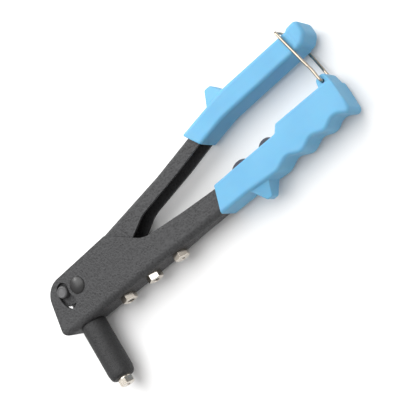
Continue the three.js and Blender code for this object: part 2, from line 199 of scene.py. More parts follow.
def turned(name, profile, at=(0, 0), axis="Y", steps=64):
    """A profile of (radius, height) spun about the Y or the Z axis through a point."""
    if axis == "Y":
        points = [(at[0] + r, h, 0) for r, h in profile]
        centre, direction = (at[0], 0, 0), (0, 1, 0)
    else:
        points = [(at[0] + r, at[1], h) for r, h in profile]
        centre, direction = (at[0], at[1], 0), (0, 0, 1)
    piece = ring_of(name, points)
    pick(piece)
    bpy.ops.object.mode_set(mode="EDIT")
    bpy.ops.mesh.select_all(action="SELECT")
    bpy.ops.mesh.spin(
        steps=steps,
        angle=2 * math.pi,
        center=PIVOT + Vector(centre) * MM,
        axis=direction,
    )
    bpy.ops.mesh.select_all(action="SELECT")
    bpy.ops.mesh.remove_doubles(threshold=0.002 * MM)
    bpy.ops.mesh.dissolve_degenerate(threshold=0.002 * MM)
    bpy.ops.mesh.normals_make_consistent(inside=False)
    done()
    return piece


def block(name, x0, x1, y0, y1, z0, z1):
    return plate(name, [(x0, y0), (x1, y0), (x1, y1), (x0, y1)], z0, z1)


def apply(piece, kind, **settings):
    """Adds a modifier and applies it."""
    pick(piece)
    modifier = piece.modifiers.new(kind.lower(), kind)
    for key, value in settings.items():
        setattr(modifier, key, value)
    bpy.ops.object.modifier_apply(modifier=modifier.name)
    return piece


def combine(piece, other, operation):
    apply(piece, "BOOLEAN", operation=operation, object=other, solver="EXACT")
    bpy.data.objects.remove(other)
    return piece


def cut(piece, *cutters):
    for cutter in cutters:
        combine(piece, cutter, "DIFFERENCE")
    return piece


def join(piece, *others):
    pick(piece)
    for other in others:
        other.select_set(True)
    bpy.ops.object.join()
    return piece


def bevel_chosen(width, segments=5, clamp=True):
    """Rounds the edges that are selected now, and leaves edit mode."""
    bpy.ops.mesh.bevel(offset=width * MM, segments=segments, affect="EDGES", clamp_overlap=clamp)
    done()


def soften(piece, width=0.3, segments=3, angle=35):
    """Rounds a piece's sharp edges, merges what met there and shades it smooth."""
    edit(piece)
    bpy.ops.mesh.select_all(action="SELECT")
    bpy.ops.mesh.remove_doubles(threshold=0.01 * MM)
    bpy.ops.mesh.dissolve_limited(angle_limit=math.radians(0.5))
    done()
    apply(
        piece,
        "BEVEL",
        width=width * MM,
        segments=segments,
        limit_method="ANGLE",
        angle_limit=math.radians(angle),
        use_clamp_overlap=True,
        harden_normals=False,
    )
    pick(piece)
    bpy.ops.object.shade_smooth_by_angle(angle=math.radians(40))
    apply(piece, "WEIGHTED_NORMAL", mode="FACE_AREA", weight=80, keep_sharp=True)
    return piece


def moulded(piece, voxel=0.42, passes=4):
    """One skin over everything that was joined, with its edges and joins softened as a moulding's are."""
    apply(piece, "REMESH", mode="VOXEL", voxel_size=voxel * MM, adaptivity=0)
    apply(piece, "SMOOTH", factor=0.5, iterations=passes)
    return piece


def bisect(piece, point, normal, cap=False):
    """Cuts a piece along a plane; with cap, the side that the normal points to is taken off and closed."""
    edit(piece)
    bpy.ops.mesh.select_all(action="SELECT")
    bpy.ops.mesh.bisect(
        plane_co=PIVOT + Vector(point) * MM,
        plane_no=normal,
        use_fill=cap,
        clear_outer=cap,
        threshold=1e-7,
    )
    done()


def wire(name, points, radius, smooth_steps=10, sides=5):
    """A round wire through points."""
    deselect()
    bpy.ops.curve.primitive_bezier_curve_add()
    piece = bpy.context.object
    piece.name = name
    curve = piece.data
    spline = curve.splines[0]
    spline.bezier_points.add(len(points) - 2)
    for knot, point in zip(spline.bezier_points, points):
        knot.co = PIVOT + Vector(point) * MM
        knot.handle_left_type = "AUTO"
        knot.handle_right_type = "AUTO"
    curve.resolution_u = smooth_steps
    curve.bevel_depth = radius * MM
    curve.bevel_resolution = sides
    curve.use_fill_caps = True
    pick(piece)
    bpy.ops.object.convert(target="MESH")
    bpy.ops.object.shade_smooth_by_angle(angle=math.radians(40))
    return bpy.context.object


# ---------------------------------------------------------------- shader helpers


class Value:
    """A shader socket that can be added, subtracted, multiplied and so on."""

    def __init__(self, finish, socket):
        self.finish = finish
        self.socket = socket

    def _math(self, operation, first, second):
        return self.finish.node("ShaderNodeMath", {"operation": operation}, {0: first, 1: second})

    def __add__(self, other):
        return self._math("ADD", self, other)

    def __radd__(self, other):
        return self._math("ADD", other, self)

    def __sub__(self, other):
        return self._math("SUBTRACT", self, other)

    def __rsub__(self, other):
        return self._math("SUBTRACT", other, self)

    def __mul__(self, other):
        return self._math("MULTIPLY", self, other)

    def __rmul__(self, other):
        return self._math("MULTIPLY", other, self)

    def __pow__(self, other):
        return self._math("POWER", self, other)

    def __abs__(self):
        return self._math("ABSOLUTE", self, 0)


class Nodes:
    """A node tree under construction."""

    def __init__(self, tree, place):
        self.tree = tree
        self.place = self.node("ShaderNodeTexCoord", {}, {}, place)

    def node(self, kind, settings, inputs, output=0):
        made = self.tree.nodes.new(kind)
        for key, value in settings.items():
            setattr(made, key, value)
        for key, value in inputs.items():
            if isinstance(value, Value):
                self.tree.links.new(value.socket, made.inputs[key])
            else:
                made.inputs[key].default_value = value
        return Value(self, made.outputs[output])

    def blend(self, mask, first, second):
        """A colour between two, by a mask."""
        settings = {"data_type": "RGBA"}
        return self.node("ShaderNodeMix", settings, {0: mask, 6: first, 7: second}, 2)

    def ramp(self, value, low, high):
        """A value's stretch between two levels, spread over 0 to 1."""
        inputs = {"Value": value, "From Min": low, "From Max": high}
        return self.node("ShaderNodeMapRange", {"clamp": True}, inputs)


class Finish(Nodes):
    """A material under construction."""

    def __init__(self, name, **constants):
        self.material = bpy.data.materials.new(name)
        self.material.use_nodes = True
        super().__init__(self.material.node_tree, "Object")
        self.facing = self.node("ShaderNodeNewGeometry", {}, {}, "Normal")
        self.shader = self.tree.nodes["Principled BSDF"]
        for key, value in constants.items():
            self.shader.inputs[key.replace("_", " ").title().replace("Ior", "IOR")].default_value = value

    def noise(self, scale, detail=2, roughness=0.5, distortion=0, stretch=(1, 1, 1)):
        """Noise with so many features to the metre."""
        where = self.node("ShaderNodeMapping", {}, {"Vector": self.place, "Scale": stretch})
        inputs = {"Vector": where, "Scale": scale, "Detail": detail, "Roughness": roughness}
        return self.node("ShaderNodeTexNoise", {}, {**inputs, "Distortion": distortion})

    def cells(self, scale, smoothness=0.4):
        settings = {"feature": "SMOOTH_F1"}
        inputs = {"Vector": self.place, "Scale": scale, "Smoothness": smoothness}
        return self.node("ShaderNodeTexVoronoi", settings, inputs, "Distance")

    def drive(self, socket, value):
        self.tree.links.new(value.socket, self.shader.inputs[socket])

    def bump(self, height, distance, strength=1):
        inputs = {"Height": height, "Distance": distance * MM, "Strength": strength}
        self.drive("Normal", self.node("ShaderNodeBump", {}, inputs))


def wrinkle_coat(name, tone=0.037, scale=540, depth=0.55):
    """Black powder coat with a fine leathery wrinkle, with painted shade in the wrinkle's hollows and a
    painted highlight on its raised tops.
    """
    coat = Finish(name, specular_ior_level=0.28)
    folds = 1 - abs(coat.noise(scale, 2, 0.45, 0.5) * 2 - 1)
    pebbles = coat.cells(scale * 1.2)
    height = folds * 0.75 + pebbles * 0.6
    # tops marks the wrinkle's raised tops; in the colour it paints a highlight onto the tops and shade into
    # the hollows
    tops = coat.ramp(height, 0.55, 1.05)
    patches = coat.noise(45, 3)
    dark = (tone * 0.62, tone * 0.62, tone * 0.64, 1)
    pale = (tone * 1.36, tone * 1.37, tone * 1.42, 1)
    # colour: painted shade in the hollows and painted highlight on the tops, mixed with random patches of
    # real tone
    coat.drive("Base Color", coat.blend(tops * 0.75 + patches * 0.25, dark, pale))
    coat.drive("Roughness", 0.62 - tops * 0.12 + patches * 0.08)
    coat.bump(height, depth)
    return coat.material


def smooth_black(name, tone, roughness):
    """The coat's black on small turned pieces, where it lies nearly smooth and is rubbed in places."""
    coat = Finish(name, specular_ior_level=0.5)
    grain = coat.noise(1500, 2)
    rub = coat.ramp(coat.noise(130, 4), 0.45, 0.7)
    rubbed = (tone * 1.5, tone * 1.5, tone * 1.55, 1)
    coat.drive("Base Color", coat.blend(rub, (tone, tone, tone * 1.03, 1), rubbed))
    coat.drive("Roughness", roughness + grain * 0.14)
    coat.bump(grain, 0.02)
    return coat.material


def blue_plastic(name):
    """Soft sky-blue moulded plastic with a faint spark-eroded grain."""
    skin = Finish(name, specular_ior_level=0.22, subsurface_weight=0.3, subsurface_scale=0.004)
    grain = skin.noise(2600, 2)
    clouds = skin.noise(28, 3)
    handled = skin.ramp(clouds, 0.35, 0.7)
    skin.drive("Base Color", skin.blend(handled, (0.119, 0.333, 0.52, 1), (0.134, 0.362, 0.55, 1)))
    skin.drive("Roughness", 0.46 + grain * 0.12 - handled * 0.05)
    skin.bump(grain, 0.012)
    return skin.material


def bright_plate(name, dull, clean):
    """Zinc plate over steel, with faint drawing marks."""
    plated = Finish(name, metallic=1)
    marks = plated.noise(900, 3, stretch=(1, 0.15, 1))
    haze = plated.noise(160, 3)
    plated.drive("Base Color", plated.blend(haze, dull, clean))
    plated.drive("Roughness", 0.12 + marks * 0.12)
    plated.bump(marks, 0.003)
    return plated.material


def painted_shade_plate(name):
    """Stamped plate with painted shade on its flat faces and a painted highlight on its edges, chosen by
    which way each face points.
    """
    plate_finish = Finish(name, metallic=1)
    upright = plate_finish.node("ShaderNodeSeparateXYZ", {}, {0: plate_finish.facing}, "Z")
    # faces that point along Z get painted shade, the edges a painted highlight; the same mask raises the
    # metallic on those faces
    faces = plate_finish.ramp(abs(upright), 0.86, 0.96)
    marks = plate_finish.noise(700, 3)
    bright = (0.8, 0.78, 0.74, 1)
    painted_face_shade = (0.035, 0.037, 0.045, 1)
    plate_finish.drive("Base Color", plate_finish.blend(faces, bright, painted_face_shade))
    plate_finish.drive("Metallic", 0.3 + faces * 0.7)
    plate_finish.drive("Roughness", 0.22 + marks * 0.16)
    plate_finish.bump(marks, 0.01)
    return plate_finish.material


def tool_steel(name):
    """Machined, lightly oiled steel."""
    steel = Finish(name, metallic=1)
    turning = steel.noise(3200, 2, stretch=(0.12, 1, 0.12))
    oil = steel.noise(90, 4)
    steel.drive("Base Color", steel.blend(oil, (0.13, 0.13, 0.135, 1), (0.22, 0.22, 0.225, 1)))
    steel.drive("Roughness", 0.3 + turning * 0.16 + oil * 0.08)
    steel.bump(turning, 0.01)
    return steel.material


def sintered_bronze(name):
    bronze = Finish(name, metallic=1)
    pores = bronze.cells(2400)
    stain = bronze.noise(200, 3)
    bronze.drive("Base Color", bronze.blend(stain, (0.5, 0.33, 0.16, 1), (0.62, 0.43, 0.22, 1)))
    bronze.drive("Roughness", 0.38 + pores * 0.2)
    bronze.bump(pores, 0.02)
    return bronze.material


def dark_plastic(name):
    skin = Finish(name, specular_ior_level=0.4)
    grain = skin.noise(2200, 2)
    dust = skin.noise(60, 3)
    skin.drive("Base Color", skin.blend(dust, (0.018, 0.019, 0.022, 1), (0.04, 0.041, 0.045, 1)))
    skin.drive("Roughness", 0.5 + grain * 0.15)
    skin.bump(grain, 0.015)
    return skin.material


FINISHES = {
    "black_coat": wrinkle_coat("black_wrinkle_coat"),
    "blue_grip": blue_plastic("blue_grip_plastic"),
    "plated_steel": bright_plate("bright_zinc_plate", (0.52, 0.47, 0.4, 1), (0.74, 0.69, 0.62, 1)),
    "tool_steel": tool_steel("oiled_tool_steel"),
    "bronze": sintered_bronze("sintered_bronze"),
    "dark_plastic": dark_plastic("dark_holder_plastic"),
}
BARREL_COAT = wrinkle_coat("fine_wrinkle_coat", 0.022, 760, 0.3)
ROD_GREY = smooth_black("grey_phosphate", 0.06, 0.5)
RIVET_BLACK = smooth_black("black_rivet_head", 0.013, 0.33)
PIN_GREY = smooth_black("worn_pin_end", 0.06, 0.34)
# the spanner's flat faces carry painted shade and its edges a painted highlight
SPANNER_STEEL = painted_shade_plate("spanner_plate_painted_shade")
WIRE_PLATE = bright_plate("dull_wire_plate", (0.3, 0.255, 0.2, 1), (0.52, 0.46, 0.38, 1))


def fit(piece, node, body, slot, finish=None):
    """Gives a finished piece its material and its body, and hides the CAD node it stands for."""
    piece.data.materials.clear()
    piece.data.materials.append(finish or FINISHES[slot])
    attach(piece, body)
    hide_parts(node)


# ---------------------------------------------------------------- body frame


def narrowing(x, wide, narrow):
    """Half the fixed handle's width at x: full at the head, narrow at the grip, eased between."""
    start, end = 60, 104
    t = min(1, max(0, (x - start) / (end - start)))
    return wide + (narrow - wide) * t * t * (3 - 2 * t)


def draw_in(piece, wide, narrow):
    """Presses a plate's two sides in along the narrowing."""
    for x in range(60, 106, 4):
        bisect(piece, (x, 0, 0), (1, 0, 0))
    for vertex in piece.data.vertices:
        point = in_mm(vertex)
        if abs(point.z) > 1:
            point.z = math.copysign(narrowing(point.x, wide, narrow), point.z)
            vertex.co = PIVOT + point * MM


def along_web(ends, side):
    """Whether an edge runs along the web, on the side of it that the fold is on."""
    return all(side(p) for p in ends) and ends[0].z * ends[1].z > 0 and abs(ends[0].x - ends[1].x) > 0.01


def body_trough(name, inset, fold):
    """A bar as wide as the channel, folded round at the web, inset by the sheet or not."""
    clear_end = TANG_END + 20
    clear_top = 40
    outline = [
        (-50, WEB + inset),
        (150, WEB + inset, 30),
        (175, TANG_WEB + inset, 30),
        (clear_end, TANG_WEB + inset),
        (clear_end, clear_top),
        (-50, clear_top),
    ]
    bar = plate(name, rounded(outline, 8), inset - HALF, HALF - inset)
    draw_in(bar, HALF - inset, TANG_HALF - inset)
    choose(bar, "EDGE", lambda ends: along_web(ends, lambda p: p.y < TANG_WEB + inset + 0.2))
    bevel_chosen(fold, 9, False)
    return bar


def arc_slot(radius=4.9, start=161, end=209.5):
    """The outline of the slot that the drive pin runs in."""
    arm = PIN.length
    points = []
    steps = 24

    def sweep(centre, r, from_angle, to_angle):
        for i in range(steps + 1):
            angle = math.radians(from_angle + (to_angle - from_angle) * i / steps)
            points.append((centre[0] + r * math.cos(angle), centre[1] + r * math.sin(angle)))

    def end_of(angle):
        return arm * math.cos(math.radians(angle)), arm * math.sin(math.radians(angle))

    sweep((0, 0), arm + radius, start, end)
    sweep(end_of(end), radius, end, end + 180)
    sweep((0, 0), arm - radius, end, start)
    sweep(end_of(start), radius, start + 180, start + 360)
    return points


SPARE_NODES = ("spare_nosepiece_a", "spare_nosepiece_b", "spare_nosepiece_c")


def body_frame():
    tang_top = -11
    cheek = rounded(
        [
            (-31.5, WEB, 5),
            (150, WEB, 30),
            (175, TANG_WEB, 30),
            (TANG_END, TANG_WEB),
            (TANG_END, tang_top),
            (128, -9.4),
            (64.2, -5.1, 20),
            (38.3, 14.7, 1.5),
            (-24.2, 12.7, 14.6),
        ],
        8,
    )
    body = body_trough("body_channel", 0, FOLD)
    combine(body, plate("cheek_outline", cheek, -THROUGH, THROUGH), "INTERSECT")
    inner = body_trough("inner", SHEET, FOLD - SHEET)
    cutters = [
        inner,
        plate("slot", arc_slot(), -20, 20),
        plate("pivot_hole", round_hole(0, 0, 4.05), -THROUGH, THROUGH),
        turned("barrel_hole", [(0, WEB - 9), (8.65, WEB - 9), (8.65, WEB + 9), (0, WEB + 9)], (AXIS, 0)),
    ]
    for node in SPARE_NODES:
        corner, far = size_of(node)
        middle = (corner.x + far.x) / 2
        recess = [(0, WEB - 9), (5.2, WEB - 9), (5.2, WEB), (4.85, WEB + 0.4), (4.85, WEB + 1.4)]
        bore = [(3.55, WEB + 1.4), (3.55, WEB + 9), (0, WEB + 9)]
        cutters.append(turned("hole", recess + bore, (middle, 0), steps=40))
    cut(body, *cutters)
    soften(body, 0.3)
    fit(body, "body_frame", "body", "black_coat")


# ---------------------------------------------------------------- lever


LEVER_TOP = [(150, 33.6, 40), (129.2, 30.4, 60), (95, 24, 90)]  # its web's outer line, towards the head


def lever_trough(name, inset, fold):
    """A bar as wide as the lever, folded round at its web, inset by the sheet or not."""
    clear_end = LEVER_HIGH.x + 20
    outline = [
        (-50, -60),
        (clear_end, -60),
        (clear_end, 37.4 - inset),
        *[(x, y - inset, radius) for x, y, radius in LEVER_TOP],
        (7.5, 12.8 - inset, 20),
        (-50, 12.8 - inset),
    ]
    bar = plate(name, rounded(outline, 8), inset - LEVER_HALF, LEVER_HALF - inset)
    choose(bar, "EDGE", lambda ends: along_web(ends, lambda p: p.y > 12.5 - inset))
    bevel_chosen(fold, 7, False)
    return bar


def lever_arm():
    side = rounded(
        [
            (-20.6, -6, 6.5),
            (0, -11, 8),
            (32.5, -10.8, 6),
            (70.6, 9.4, 25),
            (110, 16.1, 60),
            (136, 21.7, 40),
            (150, 24.3, 30),
            (LEVER_HIGH.x, 28),
            (LEVER_HIGH.x, 36.6),
            *LEVER_TOP,
            (6, 12.6, 3),
            (-20.6, 9.6, 6.5),
        ],
        8,
    )
    arm = lever_trough("lever_channel", 0, LEVER_FOLD)
    combine(arm, plate("side_outline", side, -THROUGH, THROUGH), "INTERSECT")
    inner = lever_trough("inner", LEVER_SHEET, LEVER_FOLD - LEVER_SHEET)
    # no web between the ears
    inside = LEVER_HALF - LEVER_SHEET
    bare = plate("bare_ears", [(-60, -60), (8, -60), (8, 60), (-60, 60)], -inside, inside)
    cut(
        arm,
        inner,
        bare,
        plate("bush_hole", round_hole(0, 0, 5.35), -THROUGH, THROUGH),
        plate("pin_hole", round_hole(PIN.x, PIN.y, PIN_RADIUS + GAP), -20, 20),
    )
    soften(arm, 0.3)
    fit(arm, "lever_arm", "lever", "black_coat")


# ---------------------------------------------------------------- grips


def spur(name, corners, base, tip):
    """A finger guard, full width at its base and narrow at its tip."""
    piece = plate(name, rounded(corners, 4), -GRIP_HALF, GRIP_HALF)
    base_half, tip_half = GRIP_HALF - 1.6, 4.6
    for vertex in piece.data.vertices:
        point = in_mm(vertex)
        t = min(1, max(0, (point.y - base) / (tip - base)))
        point.z = math.copysign(base_half + (tip_half - base_half) * t, point.z)
        vertex.co = PIVOT + point * MM
    return piece


def on_rim(ends, half):
    return all(abs(abs(p.z) - half) < 0.01 for p in ends) and ends[0].z * ends[1].z > 0


def round_rims(piece, half, width, segments=6, where=lambda point: True):
    """Rounds the edges round a plate's two faces, or the part of them that passes a test."""
    choose(piece, "EDGE", lambda ends: on_rim(ends, half) and all(where(p) for p in ends))
    bevel_chosen(width, segments)


def lower_grip():
    outline = rounded(
        [
            (112, -26.1),
            (146, -26.1, 20),
            (172, -28, 10),
            (182.5, -23.5, 7),
            (193, -28.5, 8),
            (203.5, -23.4, 7),
            (213.5, -27.4, 8),
            (223.2, -21.6, 8),
            (235, -29.4, 3.2),
            (235, -2.2, 3.4),
            (188, -2.2, 2),
            (184, -7.2, 2),
            (112, -7.7),
        ],
        8,
    )
    grip = plate("lower_grip_moulding", outline, -GRIP_HALF, GRIP_HALF)
    middle = -15
    round_rims(grip, GRIP_HALF, 4, 8, lambda point: point.y < middle)
    round_rims(grip, GRIP_HALF, 1.8, 5, lambda point: point.y > middle and point.x < 234.9)
    bisect(grip, (128.7, -7.6, 0), (-0.94, 0.345, 0), cap=True)
    tab_outline = [(223.6, -6), (225.2, 4.7, 4.1), (233.2, 4.7, 4.1), (235, -6)]
    tab = plate("tab", rounded(tab_outline, 10), -TAB_HALF, TAB_HALF)
    round_rims(tab, TAB_HALF, 1.6)
    guard = spur("guard", [(146, -24), (152.8, -36.6, 1.2), (157, -36.6, 1.4), (164.5, -24)], -25.6, -36.6)
    join(grip, tab, guard)
    moulded(grip)
    wall = TANG_HALF + GAP
    tang_web = TANG_WEB - GAP
    tang_end = TANG_END + 0.3
    tang = [(100, WEB - GAP), (150, WEB - GAP), (175, tang_web), (tang_end, tang_web), (tang_end, -10.9)]
    cut(
        grip,
        plate("cavity", [*tang, (128, -9.25), (100, -7.4)], -wall, wall),
        block("opening", 100, 183, -14, 4, -5.9, 5.9),
        plate("hole", round_hole(229.4, 0.1, 1.4, 32), -THROUGH, THROUGH),
    )
    pick(grip)
    bpy.ops.object.shade_smooth_by_angle(angle=math.radians(40))
    fit(grip, "lower_grip", "body", "blue_grip")


def upper_grip():
    outline = rounded(
        [
            (112, 31.1),
            (112, 15.4),
            (136.2, 19.9, 20),
            (160, 24.1, 40),
            (229, 26.1, 6),
            (236.4, 31, 5),
            (237, 41.5, 3.4),
            (170.2, 40.4, 8),
            (152.4, 37.7, 20),
            (129.2, 34.1, 10),
        ],
        8,
    )
    grip = plate("upper_grip_moulding", outline, -GRIP_HALF, GRIP_HALF)
    round_rims(grip, GRIP_HALF, 2.6)
    bisect(grip, (129.4, 32, 0), (-0.99, -0.14, 0), cap=True)
    bisect(grip, (136.4, 20, 0), (-0.86, -0.51, 0), cap=True)
    knob_outline = [(227, 26.3, 3.4), (233, 26.8, 5), (238.6, 32, 6), (238.6, 43.4, 4), (227, 42.6, 3.4)]
    knob = plate("knob", rounded(knob_outline, 8), -KNOB_HALF, KNOB_HALF)
    round_rims(knob, KNOB_HALF, 3.2)
    guard = spur("guard", [(151.8, 34), (157, 49.9, 1.2), (162, 49.9, 2), (172.4, 36)], 38.4, 49.9)
    join(grip, knob, guard)
    moulded(grip)
    wall = LEVER_HALF + GAP
    tang_inner = [(110, 15), (136, 21.5), (150, 24.1), (222.3, 27.8)]
    tang_outer = [(222.3, 36.8), (150, 33.8), (129.2, 30.6), (110, 27)]
    cut(grip, plate("cavity", tang_inner + tang_outer, -wall, wall))
    pick(grip)
    bpy.ops.object.shade_smooth_by_angle(angle=math.radians(40))
    fit(grip, "upper_grip", "lever", "blue_grip")


# ---------------------------------------------------------------- pivot, pin and their small pieces


def dome(rim, base, height, steps=8):
    radius = (rim * rim + height * height) / (2 * height)
    spread = math.asin(rim / radius)
    angles = [spread * (1 - i / steps) for i in range(steps + 1)]
    return [(radius * math.sin(a), base + height - radius + radius * math.cos(a)) for a in angles]


def pivot_rivet():
    seat = HALF + 0.1
    head = [(6.1, seat), *dome(6.25, seat + 0.3, PIVOT.z / MM - seat - 0.3)]
    foot = [(radius, -z) for radius, z in reversed(head)]
    rivet = turned("pivot_rivet_head", [*foot, (3.9, -seat), (3.9, seat), *head], axis="Z", steps=72)
    soften(rivet, 0.15, 2)
    fit(rivet, "pivot_rivet", "body", "black_coat", RIVET_BLACK)


def drive_pin():
    end = PIN_HIGH.z
    groove = 3.75
    half = [
        (groove, 6),
        (groove, 7.1),
        (PIN_RADIUS, 7.1),
        (PIN_RADIUS, end - 0.8),
        (PIN_RADIUS - 0.8, end),
        (PIN_RADIUS - 1.2, end),
        (PIN_RADIUS - 1.5, end - 0.35),
        (0, end - 0.35),
    ]
    profile = [(r, -z) for r, z in reversed(half)] + [(PIN_RADIUS, -6), (PIN_RADIUS, 6)] + half
    pin = turned("drive_pin_turned", profile, PIN, "Z", 64)
    soften(pin, 0.12, 2)
    fit(pin, "drive_pin", "lever", "black_coat", PIN_GREY)


def drive_pin_clips():
    for side, name in ((1, "drive_pin_clip_front"), (-1, "drive_pin_clip_back")):
        z0, z1 = sorted((side * 6.15, side * 6.95))
        clip = turned(name + "_ring", [(3.9, z0), (6, z0), (6, z1), (3.9, z1)], PIN, "Z", 48)
        cut(clip, block("mouth", PIN.x - 10, PIN.x, PIN.y - 1.2, PIN.y + 1.2, -20, 20))
        soften(clip, 0.12, 2)
        fit(clip, name, "lever", "tool_steel")


def lever_bushes():
    for side, name in ((1, "lever_bush_front"), (-1, "lever_bush_back")):
        profile = [(4.05, 7.5), (5.2, 7.5), (5.2, 9.65), (7.8, 9.65), (7.8, 10.1), (4.05, 10.1)]
        bush = turned(name + "_flanged", [(r, side * z) for r, z in profile], axis="Z", steps=56)
        soften(bush, 0.1, 2)
        fit(bush, name, "lever", "bronze")


# ---------------------------------------------------------------- barrel and nosepieces


def nose_barrel():
    radius = (BARREL_HIGH.x - BARREL_LOW.x) / 2
    bottom, top = BARREL_LOW.y, BARREL_HIGH.y
    profile = [
        (3.55, bottom),
        (radius - 2.2, bottom),
        (radius - 1.5, bottom + 0.35),
        (radius - 0.7, bottom + 1.5),
        (radius, bottom + 5),
        (radius, WEB - 0.9),
        (radius - 0.5, WEB - GAP),
        (8.5, WEB - GAP),
        (8.5, top),
        (6.9, top),
        (6.9, -65),
        (3.55, -65),
    ]
    barrel = turned("nose_barrel_turned", profile, (AXIS, 0), steps=96)
    soften(barrel, 0.25, 3, 12)
    fit(barrel, "nose_barrel", "body", "black_coat", BARREL_COAT)


def nosepiece(name, node, bore, turn):
    """A hexagonal nosepiece with a chamfered end, a collar and a threaded shank."""
    corner, far = size_of(node)
    x, tip = (corner.x + far.x) / 2, corner.y
    flats, seat = 10.3, tip + 4.8
    reach = flats / 2 / math.cos(math.pi / 6)
    deselect()
    bpy.ops.mesh.primitive_cylinder_add(
        vertices=6,
        radius=reach * MM,
        depth=(seat - tip) * MM,
        location=PIVOT + Vector((x, (seat + tip) / 2, 0)) * MM,
        rotation=(math.pi / 2, math.radians(turn), 0),
    )
    hexagon = bpy.context.object
    hexagon.name = name
    bpy.ops.object.transform_apply(location=True, rotation=True, scale=True)
    half = flats / 2
    rim = half + 1
    cone = [(0, tip), (half - 0.8, tip), (rim, tip + 0.9), (rim, seat - 0.35), (half + 0.4, seat), (0, seat)]
    combine(hexagon, turned("cone", cone, (x, 0)), "INTERSECT")
    pitch, crest, root = 0.9, 3.4, 3.05
    shank = [(0, seat - 1), (4.7, seat - 1), (4.7, seat + 1.3), (root, seat + 1.3)]
    start = seat + 1.7
    for i in range(6):
        shank.append((root, start + i * pitch))
        shank.append((crest, start + (i + 0.4) * pitch))
        shank.append((crest, start + (i + 0.55) * pitch))
    shank.extend([(2.6, seat + 7.6), (0, seat + 7.6)])
    combine(hexagon, turned("shank", shank, (x, 0), steps=40), "UNION")
    mouth = [(0, tip - 3), (bore + 0.5, tip - 3), (bore + 0.5, tip)]
    hole = [*mouth, (bore, tip + 0.5), (bore, seat + 12), (0, seat + 12)]
    cut(hexagon, turned("bore", hole, (x, 0), steps=36))
    soften(hexagon, 0.12, 2)
    fit(hexagon, node, node, "plated_steel")


def barrel_lock_nut():
    corner, far = size_of("barrel_lock_nut")
    reach = 9.8 / math.cos(math.pi / 6)
    deselect()
    bpy.ops.mesh.primitive_cylinder_add(
        vertices=6,
        radius=reach * MM,
        depth=(far.y - corner.y) * MM,
        location=PIVOT + Vector((AXIS, (corner.y + far.y) / 2, 0)) * MM,
        rotation=(math.pi / 2, math.radians(30), 0),
    )
    nut = bpy.context.object
    nut.name = "barrel_nut_hexagon"
    bpy.ops.object.transform_apply(location=True, rotation=True, scale=True)
    low_y, high_y = corner.y, far.y
    cone = [(0, low_y), (10, low_y), (11.4, low_y + 0.8), (11.4, high_y - 0.8), (10, high_y), (0, high_y)]
    combine(nut, turned("cone", cone, (AXIS, 0)), "INTERSECT")
    cut(nut, turned("bore", [(0, -40), (8.65, -40), (8.65, -10), (0, -10)], (AXIS, 0)))
    soften(nut, 0.15, 2)
    fit(nut, "barrel_lock_nut", "body", "tool_steel")


# ---------------------------------------------------------------- jaw carriage


def carrier_rod():
    centre = (AXIS, 0)
    rod = turned(
        "carrier_rod_turned",
        [
            (0, -20),
            (4.9, -20),
            (4.9, ROD_LOW.y),
            (5.3, ROD_LOW.y),
            (5.7, ROD_LOW.y + 0.4),
            (5.7, -31.8),
            (6.2, -31.8),
            (6.6, -31.4),
            (6.6, -5),
            (0, -5),
        ],
        centre,
    )
    head_outline = [
        (ROD_LOW.x, -6.5, 2.4),
        (ROD_HIGH.x, -6.5, 2.4),
        (ROD_HIGH.x, ROD_HIGH.y, 2.4),
        (ROD_LOW.x, ROD_HIGH.y, 2.4),
    ]
    combine(rod, plate("head", rounded(head_outline), -5.9, 5.9), "UNION")
    rise, run = 4.65, 5.6
    slot = [
        (AXIS - run, PIN.y - rise, 4.2),
        (AXIS + run, PIN.y - rise, 4.2),
        (AXIS + run, PIN.y + rise, 4.2),
        (AXIS - run, PIN.y + rise, 4.2),
    ]
    cut(rod, plate("slot", rounded(slot, 8), -20, 20))
    soften(rod, 0.3)
    fit(rod, "carrier_rod", "carriage", "tool_steel", ROD_GREY)


def jaw_case():
    bottom, top = CASE_LOW.y, CASE_HIGH.y
    profile = [
        (3.9, bottom),
        (5.4, bottom),
        (6.6, bottom + 1.6),
        (6.6, -46),
        (6.35, -45.7),
        (6.35, -44.3),
        (6.6, -44),
        (6.6, top),
        (5.9, top),
        (5.9, -38),
        (5.2, -38),
        (5.2, -47),
    ]
    case = turned("jaw_case_turned", profile, (AXIS, 0))
    soften(case, 0.15, 2)
    fit(case, "jaw_case", "carriage", "tool_steel")


